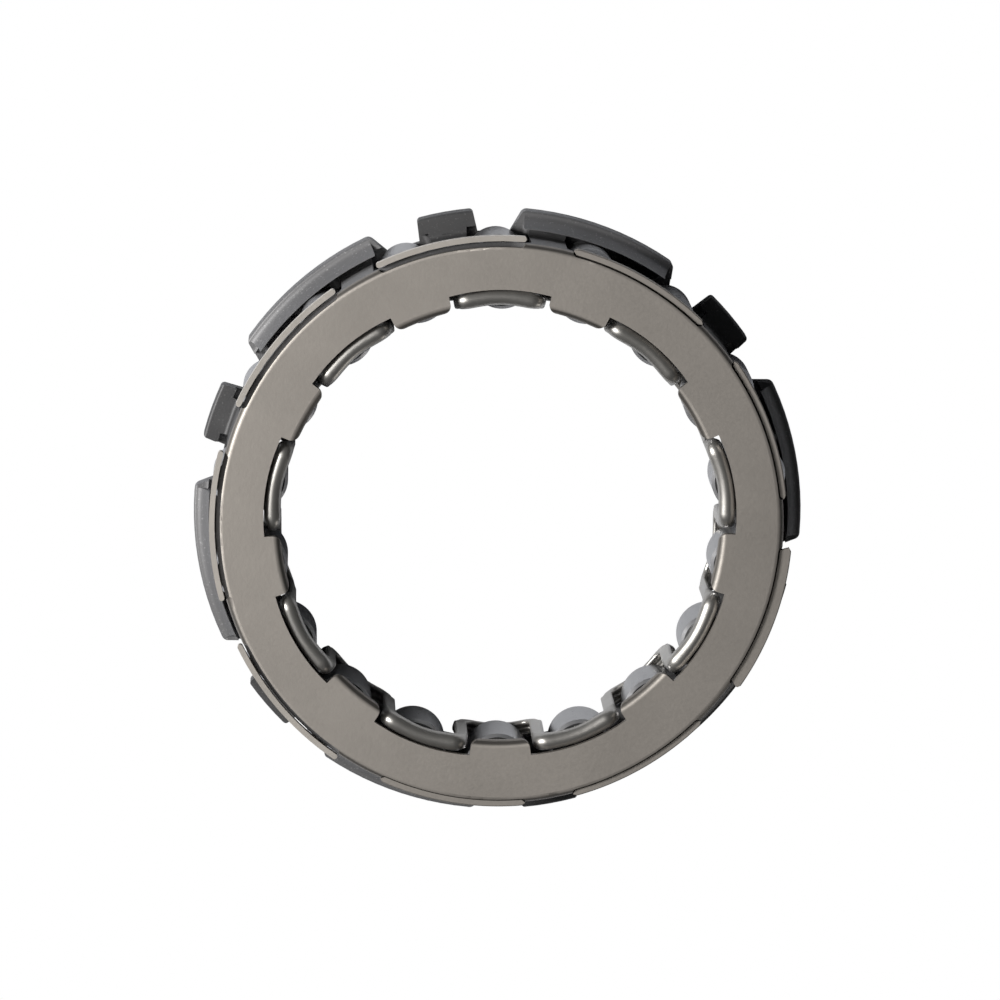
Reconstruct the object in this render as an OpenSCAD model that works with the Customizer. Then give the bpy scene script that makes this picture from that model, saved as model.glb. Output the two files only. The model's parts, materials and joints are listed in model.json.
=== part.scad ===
/* [Races that the clutch runs between] */
// Diameter of the outer race bore that the sprags wedge against
outer_race_d = 64.66; // [58:0.02:70]
// Radial gap from the inner race to the outer race, bridged by the sprags
race_gap = 8.33; // [8:0.01:8.6]

/* [Widths along the axis] */
// Overall width, from the rear face of the lugs to the front plate
total_w = 12.2; // [12:0.1:16]
// Thickness of the lugged flange at the rear
flange_t = 2.6; // [2:0.1:3.5]
// Thickness of the front plate
plate_t = 0.8; // [0.6:0.05:1]
// Height of the rear rim below the sprag windows
rear_rim_h = 1.7; // [1.4:0.1:2]
// Thickness of the rear flange that turns inwards from the cage wall
rear_flange_t = 0.8; // [0.5:0.05:0.8]
// Height of the front rim above the sprag windows
front_rim_h = 0.4; // [0.3:0.05:0.6]
// Free gap at each end of a sprag
sprag_end_gap = 0.35; // [0.3:0.05:0.6]

/* [Sprags] */
// Clearance between the inner cam of a sprag and the bars of the inner cage
sprag_bar_gap = 0.15; // [0.1:0.05:0.3]
// Clearance between the outer cam of a sprag and its window
sprag_window_gap = 0.3; // [0.25:0.05:0.5]
// Sideways offset of each cam centre, which makes the sprag wedge when it tilts
sprag_offset = 0.25; // [0.1:0.05:0.35]
// Chamfer round both ends
sprag_chamfer = 0.35; // [0.2:0.05:0.5]
// Radius of the groove in which the spring tongue lies
groove_r = 1; // [0.95:0.05:1.1]
// How far the groove cuts into the flank
groove_depth = 0.8; // [0.75:0.05:0.95]

/* [Outer cage with lugs] */
// Gap between the cage wall and the outer race
outer_cage_gap = 0.73; // [0.6:0.01:0.9]
// Sheet thickness of the cage wall
outer_cage_t = 0.65; // [0.5:0.05:0.8]
// Width of a post between two sprag windows
post_w = 3.9; // [3.5:0.1:4.4]
// Corner radius of a sprag window
window_corner = 0.8; // [0.4:0.1:1.2]
// Reach of the lugs beyond the cage wall
lug_reach = 2.6; // [2.3:0.1:3.2]
// Radius of the bend between wall and wide lugs
wide_lug_bend_r = 1.6; // [1.2:0.1:1.8]
// Radius of the bend between wall and narrow lugs
narrow_lug_bend_r = 0.5; // [0.3:0.05:0.8]
// Rounding along the outer edge of the lugs
lug_edge_r = 0.35; // [0.2:0.05:0.5]
// Half angle of a wide lug where it leaves the wall
wide_lug_base_angle = 17.5; // [15:0.5:18]
// Half angle of a wide lug at its outside
wide_lug_top_angle = 15.2; // [12:0.2:15.4]
// Half angle of a narrow lug where it leaves the wall
narrow_lug_base_angle = 6; // [5.5:0.1:7]
// Half angle of a narrow lug at its outside
narrow_lug_top_angle = 5.3; // [4:0.1:5.3]
// Corner radius of the wide lugs
wide_lug_corner = 0.8; // [0.4:0.1:1]
// Corner radius of the narrow lugs
narrow_lug_corner = 0.45; // [0.2:0.05:0.6]
// Half angle of the pads on which the front plate rests
pad_half_angle = 4.6; // [3.5:0.1:4.8]
// Height of those pads above the front rim
pad_h = 0.2; // [0.15:0.05:0.3]
// Clearance between the rear flange and the rear lips of the inner cage
rear_flange_gap = 0.35; // [0.3:0.05:0.6]

/* [Front plate] */
// Step from the outside of a land down to a band notch
notch_depth = 0.47; // [0.3:0.01:0.55]
// Half angle of a land between two notches
land_half_angle = 4.9; // [4:0.1:5]
// Radius of the rounded rim
plate_rim_r = 0.75; // [0.4:0.05:0.75]
// Gap between a bent tab and the inner race
tab_gap = 0.4; // [0.3:0.05:0.8]
// Outside radius of the bend at a tab's tip
tab_bend_r = 0.85; // [0.75:0.05:0.95]
// How far the bent tip reaches below the plate
tab_lip = 0.25; // [0.1:0.05:0.3]
// Half angle of a tab
tab_half_angle = 7.5; // [6.5:0.1:7.8]
// Corner radius of a tab's tip
tab_corner = 1; // [0.4:0.1:1.4]
// Clearance between a front lip of the inner cage and its recess in the plate
recess_gap = 0.2; // [0.2:0.05:0.5]
// Rise of the recess at its middle
recess_rise = 0.15; // [0.1:0.05:0.5]

/* [Inner cage] */
// Gap between the cage and the inner race
inner_cage_gap = 0.55; // [0.4:0.05:0.85]
// Sheet thickness of the cage
inner_cage_t = 0.6; // [0.5:0.05:0.7]
// Outside radius of the curl along each lip
curl_r = 0.75; // [0.7:0.01:0.78]
// Width of a bar between two sprags
bar_w = 1.2; // [1:0.1:1.5]
// Width of each lip along the axis
lip_w = 1.3; // [1.1:0.05:1.4]
// Depth of the front lips below the face of the plate
front_lip_depth = 0.2; // [0.1:0.05:0.4]
// Height of the rear lips above the rear face of the lugs
rear_lip_lift = 0.3; // [0.2:0.05:0.4]
// Radius at the outside corners of a lip
lip_corner = 2.8; // [2.7:0.05:3]
// Radius at the inside corners of a lip
pocket_corner = 1; // [0.8:0.1:1.2]

/* [Energizing spring] */
// Distance of the ribbon outside the sprags' middle
ribbon_out = 0.235; // [0.1:0.005:0.3]
// Thickness of the ribbon
ribbon_t = 0.2; // [0.15:0.05:0.25]
// Clearance between a sprag and its window in the ribbon
ribbon_side_gap = 0.35; // [0.3:0.05:0.5]
// Height of the ribbon's rims
ribbon_rim_h = 0.7; // [0.5:0.05:0.9]
// Free gap between the ribbon and the front plate
ribbon_end_gap = 0.2; // [0.15:0.05:0.25]
// Width of a spring tongue along the axis
tongue_w = 2.4; // [1.6:0.1:3.5]
// Reach of a spring tongue into its window
tongue_reach = 0.65; // [0.4:0.05:0.7]

/* [Drag bands] */
// Radial thickness of a band
band_t = 0.6; // [0.5:0.05:0.8]
// Width of a band along the axis
band_w = 1; // [0.8:0.05:1.2]
// Half angle of a band
band_half_angle = 14.7; // [13:0.1:14.8]
// Gap between the cage wall and a band
band_gap = 0.15; // [0.1:0.05:0.2]
// Depth of the bands below the face of the plate
band_depth = 0.45; // [0.15:0.05:0.5]

/* [Hidden] */
$fn = 120;
sprag_n = 18;
pitch = 360 / sprag_n;
pair_n = sprag_n / 2;
lug_n = 6;
lug_pitch = 360 / lug_n;
cut = 1;
// Slot widths are rounded to this step
slot_step = 0.05;

// Radial sizes, from the races inwards and outwards
outer_contact_r = outer_race_d / 2;
inner_contact_r = outer_contact_r - race_gap;
cage_out_r = outer_contact_r - outer_cage_gap;
cage_in_r = cage_out_r - outer_cage_t;
bar_in_r = inner_contact_r + inner_cage_gap;
bar_out_r = bar_in_r + inner_cage_t;
lip_out_r = bar_in_r + 2 * curl_r;
tab_tip_r = inner_contact_r + tab_gap;
recess_r = lip_out_r + recess_gap;
notch_r = cage_out_r - notch_depth;
band_in_r = cage_out_r + band_gap;
pivot_r = (inner_contact_r + outer_contact_r) / 2;
window_out_r = outer_contact_r + sprag_end_gap;
lug_r = cage_out_r + lug_reach;
ribbon_r = pivot_r + ribbon_out;
ribbon_mid_r = ribbon_r + ribbon_t / 2;

// Slots take what the posts and bars leave of a pitch, and the sprags fill them
window_half_w = slot_half_w(cage_in_r, post_w);
pocket_half_w = slot_half_w(bar_in_r, bar_w);
sprag_inner_r = pocket_half_w - sprag_bar_gap;
sprag_outer_r = window_half_w - sprag_window_gap;
ribbon_window_half_w = sprag_inner_r + sprag_offset + ribbon_side_gap;
ribbon_edge = asin(ribbon_window_half_w / ribbon_mid_r);

// Heights above the rear face
plate_z = total_w - plate_t;
front_lip_z = total_w - front_lip_depth;
cage_rim_z = plate_z - pad_h;
window_top_z = cage_rim_z - front_rim_h;
sprag_z = max(rear_rim_h, rear_lip_lift + lip_w) + sprag_end_gap;
sprag_l = min(window_top_z, front_lip_z - lip_w, plate_z - tab_lip) - sprag_end_gap - sprag_z;
band_z = total_w - band_depth - band_w;

// Half of what a web of width w leaves of a pitch at radius r
function slot_half_w(r, w) = slot_step * round((r * tan(pitch / 2) - w / 2) / slot_step);

// The first sprag stands half a pitch round from the first bar
function sprag_angle(i) = pitch * (i - 0.5);
function sprag_name(i) = str("sprag_", i < 10 ? "0" : "", i);
function band_angle(i) = 2 * pitch * (i - 0.5);
function band_name(i) = str("drag_band_", i);
function on_circle(r, a) = [r * cos(a), r * sin(a)];

// Flat wedge about +X, wide enough for half angles under 45 degrees
module wedge(half) {
    polygon([[0, 0], on_circle(2 * lug_r, -half), on_circle(2 * lug_r, half)]);
}

module ring(r_in, r_out) {
    difference() {
        circle(r = r_out);
        circle(r = r_in);
    }
}

// Rectangle with one radius on all its corners, made of true arcs
module rounded_rect(w, h, r) {
    square([w - 2 * r, h], center = true);
    square([w, h - 2 * r], center = true);
    for (sx = [-1, 1], sy = [-1, 1])
        translate([sx * (w / 2 - r), sy * (h / 2 - r)]) circle(r = r);
}

// Stands a flat outline up and pushes it outwards along +X:
// the outline's x runs round the ring and its y runs along the axis
module radial_cutter(r_from, r_to) {
    translate([r_from, 0, 0]) rotate([90, 0, 90])
        linear_extrude(r_to - r_from) children();
}

// One lug seen along the axis: straight leaning sides, an outer arc
// and two corners rounded by circles that touch both
module lug_outline(base_half, top_half, corner) {
    foot = on_circle(cage_out_r, base_half);
    tip = on_circle(lug_r, top_half);
    side = (tip - foot) / norm(tip - foot);
    normal = [-side[1], side[0]];
    lean = atan2(normal[1], normal[0]);
    spread = acos((foot * normal - corner) / (lug_r - corner));
    mid = on_circle(lug_r - corner, lean - spread);
    touch = mid + corner * normal;
    intersection() {
        circle(r = lug_r);
        wedge(atan2(mid[1], mid[0]));
    }
    polygon([
        [0, 0], [foot[0], -foot[1]], [touch[0], -touch[1]], [mid[0], -mid[1]],
        mid, touch, foot
    ]);
    for (s = [-1, 1])
        translate([mid[0], s * mid[1]]) circle(r = corner);
}

// Section of the flange: a bend out of the wall, a flat face and a rounded outer edge
module flange_section(bend_r) {
    difference() {
        square([lug_r, flange_t + bend_r]);
        translate([cage_out_r + bend_r, flange_t]) square(2 * lug_r);
        translate([cage_out_r + bend_r, flange_t + bend_r]) circle(r = bend_r);
        translate([lug_r - lug_edge_r, flange_t - lug_edge_r]) difference() {
            square(lug_edge_r + cut);
            circle(r = lug_edge_r);
        }
    }
}

// All lugs of one kind, the first of them at the angle start
module lugs(start, bend_r, base_half, top_half, corner) {
    intersection() {
        rotate_extrude() flange_section(bend_r);
        linear_extrude(flange_t + bend_r) for (i = [0 : lug_n - 1])
            rotate(start + lug_pitch * i) lug_outline(base_half, top_half, corner);
    }
}

module outer_cage() {
    color("dimgray") difference() {
        union() {
            cylinder(h = cage_rim_z, r = cage_out_r);
            for (i = [1 : pair_n]) rotate(2 * pitch * i)
                linear_extrude(plate_z) intersection() {
                    circle(r = cage_out_r);
                    wedge(pad_half_angle);
                }
            lugs(pitch / 2, wide_lug_bend_r, wide_lug_base_angle, wide_lug_top_angle,
                wide_lug_corner);
            lugs(2 * pitch, narrow_lug_bend_r, narrow_lug_base_angle, narrow_lug_top_angle,
                narrow_lug_corner);
        }
        translate([0, 0, -cut]) cylinder(h = total_w, r = lip_out_r + rear_flange_gap);
        translate([0, 0, rear_flange_t]) cylinder(h = total_w, r = cage_in_r);
        intersection() {
            cylinder(h = total_w, r = window_out_r);
            for (i = [1 : sprag_n]) rotate(sprag_angle(i))
                radial_cutter(cage_in_r - cut * 2, window_out_r + cut)
                    translate([0, (rear_rim_h + window_top_z) / 2])
                        rounded_rect(2 * window_half_w, window_top_z - rear_rim_h, window_corner);
        }
    }
}

// Outside edge of the plate: nine lands with a rounded notch between each two
module plate_outside() {
    foot_half = land_half_angle + asin(notch_depth / cage_out_r);
    circle(r = notch_r);
    for (i = [1 : pair_n]) rotate(2 * pitch * i) difference() {
        intersection() {
            circle(r = cage_out_r);
            wedge(foot_half);
        }
        for (s = [-1, 1])
            translate(on_circle(cage_out_r, s * foot_half)) circle(r = notch_depth);
    }
}

// What rounding takes off a tab's corner on side s, with the corner at the origin
module tab_corner_cut(s) {
    difference() {
        translate([-cut, s > 0 ? -tab_corner : -cut]) square(tab_corner + cut);
        translate([tab_corner, -s * tab_corner]) circle(r = tab_corner);
    }
}

// Opening of the plate: a circle at the tab tips and a domed recess for each front lip
module plate_opening() {
    dome_half = pitch - tab_half_angle;
    dome_end = on_circle(recess_r, dome_half);
    dome_top = recess_r + recess_rise;
    dome_mid = (dome_top * dome_top - recess_r * recess_r) / (2 * (dome_top - dome_end[0]));
    circle(r = tab_tip_r);
    for (i = [1 : 2 : sprag_n]) rotate(sprag_angle(i)) intersection() {
        translate([dome_mid, 0]) circle(r = dome_top - dome_mid);
        wedge(dome_half);
    }
    for (i = [2 : 2 : sprag_n], s = [-1, 1]) rotate(sprag_angle(i) + s * tab_half_angle)
        translate([tab_tip_r, 0]) tab_corner_cut(s);
}

// Section of the plate: rounded rim outside and a bent lip inside
module plate_section() {
    bend_mid = [tab_tip_r + tab_bend_r, total_w - tab_bend_r];
    translate([bend_mid[0], plate_z])
        square([cage_out_r - plate_rim_r - bend_mid[0], plate_t]);
    translate([cage_out_r - plate_rim_r, plate_z]) square([plate_rim_r, plate_t - plate_rim_r]);
    intersection() {
        translate([cage_out_r - plate_rim_r, total_w - plate_rim_r]) circle(r = plate_rim_r);
        translate([cage_out_r - plate_rim_r, plate_z]) square([plate_rim_r, plate_t]);
    }
    intersection() {
        translate(bend_mid) circle(r = tab_bend_r);
        translate([tab_tip_r, total_w - tab_bend_r]) square(tab_bend_r);
    }
    translate([tab_tip_r, plate_z - tab_lip])
        square([tab_bend_r, tab_lip + plate_t - tab_bend_r]);
}

module front_plate() {
    color("rosybrown") intersection() {
        rotate_extrude() plate_section();
        linear_extrude(total_w) difference() {
            plate_outside();
            plate_opening();
        }
    }
}

// Section of the strip that the cage is bent from, with a half-round curl at both edges
module inner_cage_section() {
    rear_z = rear_lip_lift + curl_r;
    front_z = front_lip_z - curl_r;
    translate([bar_in_r, rear_z]) square([inner_cage_t, front_z - rear_z]);
    for (end_z = [[front_z, 0], [rear_z, 180]])
        translate([bar_in_r + curl_r, end_z[0]]) rotate(end_z[1]) intersection() {
            difference() {
                circle(r = curl_r);
                circle(r = curl_r - inner_cage_t);
            }
            translate([-curl_r, 0]) square([2 * curl_r, curl_r]);
        }
}

// What rounding takes off a lip's outside corner, with the corner at the origin
module lip_corner_cut() {
    translate([0, -lip_corner]) difference() {
        translate([-cut, 0]) square(lip_corner + cut);
        translate([lip_corner, 0]) circle(r = lip_corner);
    }
}

// Slot that opens upwards between two bars, with the lips' outside corners rounded off
module pocket_outline(floor_z, mouth_z) {
    translate([0, (floor_z + mouth_z + total_w) / 2])
        rounded_rect(2 * pocket_half_w, mouth_z + total_w - floor_z, pocket_corner);
    translate([pocket_half_w, mouth_z]) lip_corner_cut();
    translate([-pocket_half_w, mouth_z]) mirror([1, 0]) lip_corner_cut();
}

module inner_cage() {
    mid_z = (rear_lip_lift + front_lip_z) / 2;
    half_h = (front_lip_z - rear_lip_lift) / 2;
    color("darkgray") difference() {
        rotate_extrude() inner_cage_section();
        for (i = [1 : sprag_n]) rotate(sprag_angle(i))
            radial_cutter(bar_in_r - cut, lip_out_r + cut)
                translate([0, mid_z]) rotate(180 * i) pocket_outline(lip_w - half_h, half_h);
    }
}

// Thin ribbon with a window and a tongue for each sprag
module ribbon_spring() {
    top_z = plate_z - ribbon_end_gap;
    floor_z = rear_rim_h;
    roof_z = window_top_z;
    color("lightsteelblue") {
        difference() {
            translate([0, 0, floor_z - ribbon_rim_h])
                linear_extrude(top_z - floor_z + ribbon_rim_h) ring(ribbon_r, ribbon_r + ribbon_t);
            for (i = [1 : sprag_n]) rotate(sprag_angle(i))
                radial_cutter(ribbon_r - cut, ribbon_r + ribbon_t + cut)
                    translate([0, (floor_z + roof_z) / 2])
                        rounded_rect(2 * ribbon_window_half_w, roof_z - floor_z, window_corner);
        }
        for (i = [1 : sprag_n]) rotate(sprag_angle(i) - ribbon_edge)
            translate([ribbon_r, -tongue_reach, (floor_z + roof_z - tongue_w) / 2])
                cube([ribbon_t, 2 * tongue_reach, tongue_w]);
    }
}

// One cam of a sprag, with both edges chamfered
module cam(r) {
    rotate_extrude() polygon([
        [0, 0], [r - sprag_chamfer, 0], [r, sprag_chamfer],
        [r, sprag_l - sprag_chamfer], [r - sprag_chamfer, sprag_l], [0, sprag_l]
    ]);
}

module sprag(i) {
    outer_mid = [outer_contact_r - sprag_outer_r - pivot_r, sprag_offset];
    inner_mid = [inner_contact_r + sprag_inner_r - pivot_r, -sprag_offset];
    flank_y = inner_mid[1] - sprag_inner_r;
    groove_mid = [ribbon_mid_r * cos(ribbon_edge) - pivot_r, flank_y + groove_depth - groove_r];
    color("slategray") rotate(sprag_angle(i)) translate([pivot_r, 0, sprag_z]) difference() {
        union() {
            translate(outer_mid) cam(sprag_outer_r);
            translate(inner_mid) cam(sprag_inner_r);
        }
        translate([groove_mid[0], groove_mid[1], -cut]) cylinder(h = sprag_l + 2 * cut, r = groove_r);
    }
}

module drag_band(i) {
    mid_r = band_in_r + band_t / 2;
    color("tan") rotate(band_angle(i)) translate([0, 0, band_z]) linear_extrude(band_w) {
        intersection() {
            ring(band_in_r, band_in_r + band_t);
            wedge(band_half_angle);
        }
        for (s = [-1, 1])
            translate(on_circle(mid_r, s * band_half_angle)) circle(r = band_t / 2);
    }
}

outer_cage();
front_plate();
inner_cage();
ribbon_spring();
for (i = [1 : pair_n])
    drag_band(i);
for (i = [1 : sprag_n])
    sprag(i);
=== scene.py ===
import json
import math
import bmesh
import bpy
from mathutils import Matrix, Vector


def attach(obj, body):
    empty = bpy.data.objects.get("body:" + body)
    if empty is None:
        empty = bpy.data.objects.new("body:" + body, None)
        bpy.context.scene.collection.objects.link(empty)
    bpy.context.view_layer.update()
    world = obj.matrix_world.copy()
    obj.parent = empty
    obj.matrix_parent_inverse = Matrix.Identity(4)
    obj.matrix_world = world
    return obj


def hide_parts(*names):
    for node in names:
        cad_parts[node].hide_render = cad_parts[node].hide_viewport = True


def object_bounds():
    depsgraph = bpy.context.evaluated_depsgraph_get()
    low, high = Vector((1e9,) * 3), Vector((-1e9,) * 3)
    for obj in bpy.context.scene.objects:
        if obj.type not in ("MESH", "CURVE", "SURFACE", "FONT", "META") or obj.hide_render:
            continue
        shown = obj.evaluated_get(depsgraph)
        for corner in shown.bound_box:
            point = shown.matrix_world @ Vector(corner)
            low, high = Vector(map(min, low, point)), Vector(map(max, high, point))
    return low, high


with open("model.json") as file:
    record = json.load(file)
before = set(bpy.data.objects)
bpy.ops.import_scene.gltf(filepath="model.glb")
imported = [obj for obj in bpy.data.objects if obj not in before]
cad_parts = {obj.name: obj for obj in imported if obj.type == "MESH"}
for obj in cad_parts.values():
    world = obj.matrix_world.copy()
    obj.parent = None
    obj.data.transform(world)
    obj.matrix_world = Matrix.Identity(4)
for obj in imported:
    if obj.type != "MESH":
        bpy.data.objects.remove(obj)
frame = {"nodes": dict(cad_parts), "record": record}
cadLow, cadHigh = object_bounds()
nodes = frame["nodes"]
scene = bpy.context.scene
mm = 0.001
print("frame loaded:", len(nodes), "nodes")

# Camera: a little above the axis and to its left, as in the photo
cameraSet = {"slopeLeft": -0.030, "slopeUp": 0.168, "distance": 0.7, "lens": 226.8, "pixelsPerMm": 9.0,
             "centreX": 0.3, "centreDown": 25.6, "near": 0.01, "far": 10}
plateCentre = Vector((0, 0, cadHigh.z))
towards = Vector((cameraSet["slopeLeft"], cameraSet["slopeUp"], 1)).normalized()
across = Vector((0, 1, 0)).cross(towards).normalized()
upwards = towards.cross(across)
cameraData = bpy.data.cameras.new("camera")
cameraData.lens = cameraSet["lens"]
cameraData.clip_start, cameraData.clip_end = cameraSet["near"], cameraSet["far"]
camera = bpy.data.objects.new("camera", cameraData)
scene.collection.objects.link(camera)
aim = (plateCentre - across * cameraSet["centreX"] / cameraSet["pixelsPerMm"] * mm
       + upwards * cameraSet["centreDown"] / cameraSet["pixelsPerMm"] * mm)
camera.location = plateCentre + towards * cameraSet["distance"]
back = (camera.location - aim).normalized()
side = Vector((0, 1, 0)).cross(back).normalized()
camera.rotation_mode = "QUATERNION"
camera.rotation_quaternion = Matrix((side, back.cross(side), back)).transposed().to_quaternion()
scene.camera = camera
scene.view_settings.view_transform = "Standard"

# Metals: the tone drifts a little, fine grain lies in roughness and height, and light specks show where the
# blasting left bare metal. The tone by facing is painted light: faces across the axis and the chamfers round
# them get their own tone, which paints shade on the sprags' end faces and on the plate's rim bevels and sides,
# and a painted highlight on the sprags' chamfers
metalSet = {"drift": 90, "driftDetail": 3, "grainDetail": 4, "tonesAt": (0.3, 0.7), "specksAt": (0.62, 0.72),
            "speckColour": (0.75, 0.75, 0.75, 1), "edgePaintedLightAt": (0.5, 0.6), "endPaintedLightAt": (0.85, 0.97),
            "roughSpread": 0.06, "grainDepth": 0.04}
# The last two values of each look are painted light by facing: painted shade on the plate's rim and the sprags'
# end faces, a painted highlight on the sprags' chamfers
looksSet = {
    "plate_steel": {"name": "plateSteel", "colour": (0.264, 0.246, 0.226), "metallic": 0.75, "roughness": 0.5,
                    "grain": 3000, "bump": 0.25, "mottle": 0.06, "specks": 0, "endPaintedLight": 1.85, "edgePaintedLight": 0.55},
    "outer_cage_steel": {"name": "outerCageSteel", "colour": (0.185, 0.185, 0.19), "metallic": 0.55,
                         "roughness": 0.55, "grain": 4200, "bump": 0.3, "mottle": 0.12, "specks": 0.35,
                         "endPaintedLight": 1, "edgePaintedLight": 1},
    "inner_cage_steel": {"name": "innerCageSteel", "colour": (0.44, 0.43, 0.41), "metallic": 0.85,
                         "roughness": 0.38, "grain": 2200, "bump": 0.1, "mottle": 0.12, "specks": 0,
                         "endPaintedLight": 1, "edgePaintedLight": 1},
    "spring_steel": {"name": "springSteel", "colour": (0.3, 0.3, 0.31), "metallic": 1, "roughness": 0.35,
                     "grain": 2000, "bump": 0.05, "mottle": 0.12, "specks": 0, "endPaintedLight": 1, "edgePaintedLight": 1},
    "band_steel": {"name": "bandSteel", "colour": (0.68, 0.64, 0.59), "metallic": 0.6, "roughness": 0.42,
                   "grain": 2600, "bump": 0.1, "mottle": 0.12, "specks": 0, "endPaintedLight": 1, "edgePaintedLight": 1},
    "sprag_steel": {"name": "spragSteel", "colour": (0.31, 0.312, 0.322), "metallic": 0.8, "roughness": 0.3,
                    "grain": 1500, "bump": 0.02, "mottle": 0.05, "specks": 0, "endPaintedLight": 0.4, "edgePaintedLight": 2},
}


def noise(tree, place, scale, detail):
    made = tree.nodes.new("ShaderNodeTexNoise")
    made.inputs["Scale"].default_value = scale
    made.inputs["Detail"].default_value = detail
    tree.links.new(place, made.inputs["Vector"])
    return made.outputs["Fac"]


def colourRamp(tree, value, places, colours):
    made = tree.nodes.new("ShaderNodeValToRGB")
    for element, place, colour in zip(made.color_ramp.elements, places, colours):
        element.position, element.color = place, colour
    tree.links.new(value, made.inputs["Fac"])
    return made.outputs["Color"]


def mapRange(tree, value, places, results):
    made = tree.nodes.new("ShaderNodeMapRange")
    made.inputs["From Min"].default_value, made.inputs["From Max"].default_value = places
    made.inputs["To Min"].default_value, made.inputs["To Max"].default_value = results
    tree.links.new(value, made.inputs["Value"])
    return made.outputs["Result"]


def maths(tree, operation, *values):
    made = tree.nodes.new("ShaderNodeMath")
    made.operation = operation
    for k, value in enumerate(values):
        if isinstance(value, float):
            made.inputs[k].default_value = value
        else:
            tree.links.new(value, made.inputs[k])
    return made.outputs["Value"]


def scaled(tree, colour, factor):
    made = tree.nodes.new("ShaderNodeVectorMath")
    made.operation = "SCALE"
    tree.links.new(colour, made.inputs[0])
    tree.links.new(factor, made.inputs["Scale"])
    return made.outputs["Vector"]


def metal(s):
    made = bpy.data.materials.new(s["name"])
    made.use_nodes = True
    tree = made.node_tree
    tree.nodes.clear()
    out = tree.nodes.new("ShaderNodeOutputMaterial")
    shader = tree.nodes.new("ShaderNodeBsdfPrincipled")
    shader.inputs["Metallic"].default_value = s["metallic"]
    tree.links.new(shader.outputs["BSDF"], out.inputs["Surface"])
    place = tree.nodes.new("ShaderNodeTexCoord")
    broad = noise(tree, place.outputs["Object"], metalSet["drift"], metalSet["driftDetail"])
    fine = noise(tree, place.outputs["Object"], s["grain"], metalSet["grainDetail"])
    tones = [tuple(c * (1 + way * s["mottle"]) for c in s["colour"]) + (1,) for way in (-1, 1)]
    specks = [(0, 0, 0, 1), (s["specks"],) * 3 + (1,)]
    blend = tree.nodes.new("ShaderNodeMix")
    blend.data_type = "RGBA"
    blend.inputs["B"].default_value = metalSet["speckColour"]
    tree.links.new(colourRamp(tree, fine, metalSet["specksAt"], specks), blend.inputs["Factor"])
    tree.links.new(colourRamp(tree, broad, metalSet["tonesAt"], tones), blend.inputs["A"])
    facing = tree.nodes.new("ShaderNodeSeparateXYZ")
    tree.links.new(place.outputs["Normal"], facing.inputs["Vector"])
    # painted light: colour scaled by how each face is turned, painted shade on end faces and rim bevels, painted
    # highlight on chamfers
    both = maths(tree, "MULTIPLY",
                 mapRange(tree, facing.outputs["Z"], metalSet["edgePaintedLightAt"], (1, s["edgePaintedLight"])),
                 mapRange(tree, facing.outputs["Z"], metalSet["endPaintedLightAt"], (1, s["endPaintedLight"] / s["edgePaintedLight"])))
    tree.links.new(scaled(tree, blend.outputs["Result"], both), shader.inputs["Base Color"])
    roughness = (s["roughness"] - metalSet["roughSpread"], s["roughness"] + metalSet["roughSpread"])
    tree.links.new(mapRange(tree, fine, (0, 1), roughness), shader.inputs["Roughness"])
    height = tree.nodes.new("ShaderNodeBump")
    height.inputs["Strength"].default_value = s["bump"]
    height.inputs["Distance"].default_value = metalSet["grainDepth"] * mm
    tree.links.new(fine, height.inputs["Height"])
    tree.links.new(height.outputs["Normal"], shader.inputs["Normal"])
    return made


looks = {slot: metal(settings) for slot, settings in looksSet.items()}

# The narrow lugs are made darker than the wide ones: tone by the angle round the ring
narrowSet = {"first": 40, "count": 6, "from": 0.1, "to": 0.3, "tone": 0.5}


def darkenNarrowLugs(made, s):
    tree = made.node_tree
    shader = next(n for n in tree.nodes if n.type == "BSDF_PRINCIPLED")
    colour = shader.inputs["Base Color"].links[0].from_socket
    place = tree.nodes.new("ShaderNodeTexCoord")
    parts = tree.nodes.new("ShaderNodeSeparateXYZ")
    tree.links.new(place.outputs["Object"], parts.inputs["Vector"])
    angle = maths(tree, "ARCTAN2", parts.outputs["Y"], parts.outputs["X"])
    away = maths(tree, "SUBTRACT", angle, math.radians(s["first"]))
    wave = maths(tree, "COSINE", maths(tree, "MULTIPLY", away, float(s["count"])))
    amount = mapRange(tree, wave, (s["from"], s["to"]), (1, s["tone"]))
    tree.links.new(scaled(tree, colour, amount), shader.inputs["Base Color"])


darkenNarrowLugs(looks["outer_cage_steel"], narrowSet)
for part in frame["record"]["subparts"]:
    node = nodes[part["node"]]
    node.data.materials.clear()
    node.data.materials.append(looks[part["material_slot"]])
print("materials set")

# Inner cage: one strip bent to and fro round the sprags, its lips curled outwards
cageSet = {"radius": 24.55, "sink": 0.2, "thick": 0.6, "curl": 0.95, "rear": 0.3, "front": 11.75, "lip": 1.3,
           "bar": 1.5, "inside": 1.0, "outside": 1.7, "pairs": 9, "start": 10, "straight": 6, "corner": 14,
           "upright": 6, "arc": 9, "fadeFrom": 1.0, "fadeTo": 2.2, "closed": 6, "open": 180, "flat": 0.08,
           "endArc": (45, 90, 135), "merge": 0.0005}


def smooth(t):
    return t * t * (3 - 2 * t)


# The curl closes again on the way down from the lip to the bar
def openness(s, z):
    down = (s["front"] - z - s["fadeFrom"]) / (s["fadeTo"] - s["fadeFrom"])
    return 1 - smooth(min(1, max(0, down)))


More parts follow.
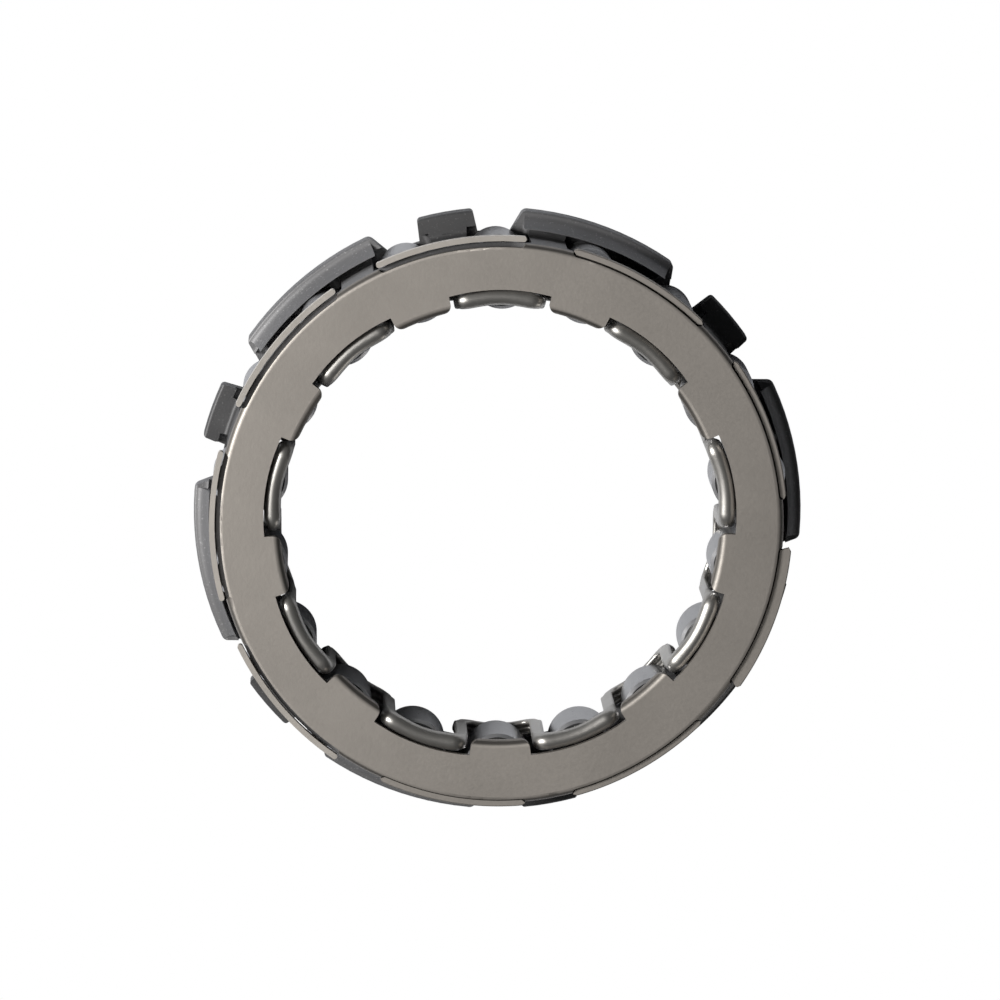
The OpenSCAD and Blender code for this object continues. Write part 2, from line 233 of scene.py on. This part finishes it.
# The strip's near and far edge at each row, from the middle of a front lip to half way down the next bar,
# and how far the curl at the far edge is open there
def quarterStrip(s, stepLength):
    pocketHalf = (stepLength - s["bar"]) / 2
    outerHalf = (stepLength + s["bar"]) / 2
    floorZ, middleZ = s["front"] - s["lip"], (s["front"] + s["rear"]) / 2
    rows = []
    for k in range(s["straight"]):
        t = k / s["straight"]
        near = (t * (pocketHalf - s["inside"]), floorZ)
        far = (t * (outerHalf - s["outside"]), s["front"])
        rows.append((near, far, 1.0))
    for k in range(s["corner"] + 1):
        a = math.pi / 2 * k / s["corner"]
        near = (pocketHalf - s["inside"] * (1 - math.sin(a)), floorZ - s["inside"] * (1 - math.cos(a)))
        far = (outerHalf - s["outside"] * (1 - math.sin(a)), s["front"] - s["outside"] * (1 - math.cos(a)))
        rows.append((near, far, openness(s, far[1])))
    for k in range(1, s["upright"] + 1):
        t = k / s["upright"]
        near = (pocketHalf, (floorZ - s["inside"]) * (1 - t) + middleZ * t)
        far = (outerHalf, (s["front"] - s["outside"]) * (1 - t) + middleZ * t)
        rows.append((near, far, openness(s, far[1])))
    return rows


# One side of the strip's section: flat, curl, rounded end and back along the inside of the curl
def curlSide(s, width, opening):
    angle = math.radians(s["closed"] + (s["open"] - s["closed"]) * opening)
    half = s["thick"] / 2
    reach = (s["curl"] - half) * math.sin(min(angle, math.pi / 2)) + half
    x, r = width - reach, s["curl"]
    points = [(x - s["flat"], 0)]
    for k in range(s["arc"] + 1):
        a = angle * k / s["arc"]
        points.append((x + r * math.sin(a), r - r * math.cos(a)))
    endX, endH = x + (r - half) * math.sin(angle), r - (r - half) * math.cos(angle)
    for b in s["endArc"]:
        c, d = half * math.cos(math.radians(b)), half * math.sin(math.radians(b))
        points.append((endX + c * math.sin(angle) + d * math.cos(angle),
                       endH - c * math.cos(angle) + d * math.sin(angle)))
    inner = r - s["thick"]
    for k in range(s["arc"], -1, -1):
        a = angle * k / s["arc"]
        points.append((x + inner * math.sin(a), r - inner * math.cos(a)))
    points.append((x - s["flat"], s["thick"]))
    return points


# The strip's section at every station from one front lip to the next
def cageStations(s):
    ring = s["radius"] + s["thick"] / 2
    stepLength = ring * math.pi / s["pairs"]
    quarter = quarterStrip(s, stepLength)
    lowHigh = s["front"] + s["rear"]
    half = [(near, far, 0.0, opening) for near, far, opening in quarter]
    for near, far, opening in reversed(quarter[:-1]):
        half.append(((stepLength - far[0], lowHigh - far[1]), (stepLength - near[0], lowHigh - near[1]),
                     opening, 0.0))
    whole = half + [((2 * stepLength - near[0], near[1]), (2 * stepLength - far[0], far[1]), a, b)
                    for near, far, a, b in reversed(half[:-1])]
    stations = []
    for near, far, openNear, openFar in whole:
        width = math.dist(near, far)
        away = abs((((near[0] + far[0]) / 2) / stepLength + 0.5) % 1 - 0.5) * 2
        base = s["radius"] - s["sink"] * smooth(away)
        farSide = curlSide(s, width, openFar)
        nearSide = [(width - x, h) for x, h in reversed(curlSide(s, width, openNear))]
        points = []
        for x, h in farSide + nearSide:
            t = x / width
            a = math.radians(s["start"]) + (near[0] + (far[0] - near[0]) * t) / ring
            z = near[1] + (far[1] - near[1]) * t
            points.append(Vector(((base + h) * math.cos(a), (base + h) * math.sin(a), z)) * mm)
        stations.append(points)
    return stations


# The first section is extruded from station to station, and the length made so is repeated round the ring
def buildInnerCage(s):
    stations = cageStations(s)
    mesh = bmesh.new()
    loop = [mesh.verts.new(point) for point in stations[0]]
    edges = [mesh.edges.new((loop[k - 1], loop[k])) for k in range(len(loop))]
    for points in stations[1:]:
        grown = bmesh.ops.extrude_edge_only(mesh, edges=edges)["geom"]
        fresh = {item for item in grown if isinstance(item, bmesh.types.BMVert)}
        edges = [item for item in grown if isinstance(item, bmesh.types.BMEdge) and fresh.issuperset(item.verts)]
        loop = [next(e.other_vert(v) for e in v.link_edges if e.other_vert(v) in fresh) for v in loop]
        for vert, point in zip(loop, points):
            vert.co = point
    copies = s["pairs"] - 1
    bmesh.ops.spin(mesh, geom=mesh.verts[:] + mesh.edges[:] + mesh.faces[:], cent=(0, 0, 0), axis=(0, 0, 1),
                   angle=math.tau * copies / s["pairs"], steps=copies, use_duplicate=True)
    seams = [vert for vert in mesh.verts if vert.is_boundary]
    bmesh.ops.remove_doubles(mesh, verts=seams, dist=s["merge"] * mm)
    bmesh.ops.recalc_face_normals(mesh, faces=mesh.faces)
    data = bpy.data.meshes.new("innerCageShown")
    mesh.to_mesh(data)
    mesh.free()
    data.shade_smooth()
    made = bpy.data.objects.new("innerCageShown", data)
    scene.collection.objects.link(made)
    data.materials.append(looks["inner_cage_steel"])
    return made


innerCage = buildInnerCage(cageSet)
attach(innerCage, "inner_cage")
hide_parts("inner_cage")
print("inner cage built:", len(innerCage.data.polygons), "faces")


# A closed section of radius and height in mm, spun round the axis between two angles in degrees
def spunMesh(name, section, start, end, steps):
    mesh = bmesh.new()
    a = math.radians(start)
    corners = [mesh.verts.new(Vector((r * math.cos(a), r * math.sin(a), z)) * mm) for r, z in section]
    mesh.faces.new(corners)
    bmesh.ops.spin(mesh, geom=mesh.verts[:] + mesh.edges[:] + mesh.faces[:], cent=(0, 0, 0), axis=(0, 0, 1),
                   angle=math.radians(end - start), steps=steps, use_merge=False, use_duplicate=False)
    bmesh.ops.recalc_face_normals(mesh, faces=mesh.faces)
    data = bpy.data.meshes.new(name)
    mesh.to_mesh(data)
    mesh.free()
    return data


def spunPiece(name, section, middle, half, steps):
    made = bpy.data.objects.new(name, spunMesh(name, section, middle - half, middle + half, steps))
    scene.collection.objects.link(made)
    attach(made, "cages_and_plate")
    return made


# Outer cage with the two lugs at the lower right a little shorter: the photo shows nothing of them past
# the ring
shownCageSet = {"from": -70, "to": -10, "reach": 33.72, "beyond": 36, "below": -1, "above": 3.3, "steps": 60,
                "sharp": 30}


def buildShownCage(s):
    made = bpy.data.objects.new("outerCageShown", nodes["outer_cage"].data.copy())
    section = [(s["reach"], s["below"]), (s["reach"], s["above"]),
               (s["beyond"], s["above"]), (s["beyond"], s["below"])]
    cutter = bpy.data.objects.new("lugCutter", spunMesh("lugCutter", section, s["from"], s["to"], s["steps"]))
    for piece in (made, cutter):
        scene.collection.objects.link(piece)
    cut = made.modifiers.new("cut", "BOOLEAN")
    cut.operation, cut.solver, cut.object = "DIFFERENCE", "EXACT", cutter
    bpy.context.view_layer.update()
    made.data = bpy.data.meshes.new_from_object(made.evaluated_get(bpy.context.evaluated_depsgraph_get()))
    made.modifiers.clear()
    bpy.data.objects.remove(cutter)
    made.data.materials.clear()
    made.data.materials.append(looks["outer_cage_steel"])
    if "custom_normal" in made.data.attributes:
        made.data.attributes.remove(made.data.attributes["custom_normal"])
    made.data.shade_smooth()
    made.data.set_sharp_from_angle(angle=math.radians(s["sharp"]))
    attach(made, "cages_and_plate")
    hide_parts("outer_cage")
    return made


shownCage = buildShownCage(shownCageSet)
print("outer cage built:", len(shownCage.data.polygons), "faces")

# Flares: the hollow curve in which each wide lug rises to the drag bands, and the foot of each narrow lug
flareSet = {"wideAt": 10, "narrowAt": 40, "pitch": 60, "inside": 32.46, "edge": 0.06, "floor": 1.75,
            "flange": 2.6, "rise": 3.0, "reach": (1.4, 1.4, 1.4, 1.4, 1.4, 1.15), "wideHalf": 14.9,
            "footHalf": 5.6, "foot": 0.25, "footTop": 2.59, "arc": 12, "steps": 40, "footSteps": 12, "sharp": 35}


def wideSection(s, reach):
    curve = []
    for k in range(s["arc"] + 1):
        a = math.pi / 2 * k / s["arc"]
        curve.append((s["inside"] + s["edge"] + reach * (1 - math.cos(a)),
                      s["flange"] + s["rise"] * (1 - math.sin(a))))
    return [(s["inside"], s["floor"]), (s["inside"], curve[0][1])] + curve + [(curve[-1][0], s["floor"])]


def footSection(s):
    out = s["inside"] + s["foot"]
    return [(s["inside"], s["floor"]), (s["inside"], s["footTop"]), (out, s["footTop"]), (out, s["floor"])]


for k, reach in enumerate(flareSet["reach"]):
    turned = flareSet["pitch"] * k
    flare = spunPiece(f"wideFlare{k + 1}", wideSection(flareSet, reach), flareSet["wideAt"] + turned,
                      flareSet["wideHalf"], flareSet["steps"])
    foot = spunPiece(f"narrowFoot{k + 1}", footSection(flareSet), flareSet["narrowAt"] + turned,
                     flareSet["footHalf"], flareSet["footSteps"])
    for face in flare.data.polygons:
        face.use_smooth = len(face.vertices) == 4
    flare.data.set_sharp_from_angle(angle=math.radians(flareSet["sharp"]))
    for piece in (flare, foot):
        piece.data.materials.append(looks["outer_cage_steel"])
print("flares built")

# Drag bands that lie against the plate's edge in the photo: an L section bent round the cage
bandSet = {"outside": {1: 32.0, 2: 32.0, 7: 32.0, 8: 32.0, 9: 32.6}, "inside": 31.2, "thick": 0.3,
           "top": 11.75, "ledge": 11.25, "bottom": 10.75, "pitch": 40, "half": 15.0, "edge": 0.12,
           "soften": 0.3, "round": 0.45, "least": 0.02, "steps": 48}


def buildPressedBand(s, number):
    e, out = s["edge"], s["outside"][number]
    skirt = out - s["thick"]
    section = [(s["inside"], s["ledge"]), (s["inside"], s["top"] - e), (s["inside"] + e, s["top"]),
               (out - e, s["top"]), (out - e * s["soften"], s["top"] - e * s["soften"]), (out, s["top"] - e),
               (out, s["bottom"]), (skirt, s["bottom"]), (skirt, s["ledge"])]
    middle = s["pitch"] * (number - 0.5)
    made = spunPiece(f"pressedBand{number}", section, middle, s["half"], s["steps"])
    for vert in made.data.vertices:  # both ends are rounded towards the skirt
        off = abs(math.remainder(math.atan2(vert.co.y, vert.co.x) - math.radians(middle), math.tau))
        left = (math.radians(s["half"]) - off) * out
        pull = 1 if left > s["round"] else math.sqrt(max(s["least"], 1 - (1 - left / s["round"]) ** 2))
        root = vert.co.xy.normalized() * skirt * mm
        vert.co.xy = root + (vert.co.xy - root) * pull
    made.data.materials.append(looks["plate_steel"])
    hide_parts(f"drag_band_{number}")


for number in bandSet["outside"]:
    buildPressedBand(bandSet, number)
print("pressed bands built")

# Light: a broad source at the upper left, a weak one near the camera and a weaker one low at the right
lightSet = [
    {"name": "key", "at": (-0.572, 0.13, 0.46), "size": 0.2, "power": 6.3, "colour": (1, 0.985, 0.965)},
    {"name": "front", "at": (-0.24, 0.03, 0.44), "size": 0.2, "power": 0.4, "colour": (1, 0.98, 0.95)},
    {"name": "low", "at": (0.45, -0.5, 0.12), "size": 0.15, "power": 0.3, "colour": (1, 0.96, 0.9)},
]
for item in lightSet:
    data = bpy.data.lights.new(item["name"], "AREA")
    data.shape, data.size, data.energy, data.color = "SQUARE", item["size"], item["power"], item["colour"]
    lamp = bpy.data.objects.new(item["name"], data)
    lamp.location = item["at"]
    lamp.rotation_mode = "QUATERNION"
    lamp.rotation_quaternion = Vector(item["at"]).to_track_quat("Z", "Y")
    scene.collection.objects.link(lamp)

# Floor: pale paper under the ring, plain white to the camera, as the backdrop is
floorSet = {"size": 3.0, "under": 0.4, "colour": (0.72, 0.74, 0.78, 1)}
backdropSet = {"colour": (0.92, 0.96, 1, 1), "strength": 0.03, "seen": (1, 1, 1, 1)}


def seenWhite(tree, output, plain, white):
    mix = tree.nodes.new("ShaderNodeMixShader")
    path = tree.nodes.new("ShaderNodeLightPath")
    white.inputs["Color"].default_value = backdropSet["seen"]
    tree.links.new(path.outputs["Is Camera Ray"], mix.inputs["Fac"])
    tree.links.new(plain.outputs[0], mix.inputs[1])
    tree.links.new(white.outputs[0], mix.inputs[2])
    tree.links.new(mix.outputs["Shader"], output.inputs["Surface"])


floorMesh = bmesh.new()
bmesh.ops.create_grid(floorMesh, x_segments=1, y_segments=1, size=floorSet["size"] / 2,
                      matrix=Matrix.Translation((0, 0, -floorSet["under"] * mm)))
floorData = bpy.data.meshes.new("floor")
floorMesh.to_mesh(floorData)
floorMesh.free()
floor = bpy.data.objects.new("floor", floorData)
scene.collection.objects.link(floor)
paper = bpy.data.materials.new("paper")
paper.use_nodes = True
tree = paper.node_tree
tree.nodes.clear()
dull = tree.nodes.new("ShaderNodeBsdfDiffuse")
dull.inputs["Color"].default_value = floorSet["colour"]
seenWhite(tree, tree.nodes.new("ShaderNodeOutputMaterial"), dull, tree.nodes.new("ShaderNodeEmission"))
floorData.materials.append(paper)

world = bpy.data.worlds.new("studio")
scene.world = world
world.use_nodes = True
tree = world.node_tree
tree.nodes.clear()
dim = tree.nodes.new("ShaderNodeBackground")
dim.inputs["Color"].default_value = backdropSet["colour"]
dim.inputs["Strength"].default_value = backdropSet["strength"]
seenWhite(tree, tree.nodes.new("ShaderNodeOutputWorld"), dim, tree.nodes.new("ShaderNodeBackground"))
print("light set")
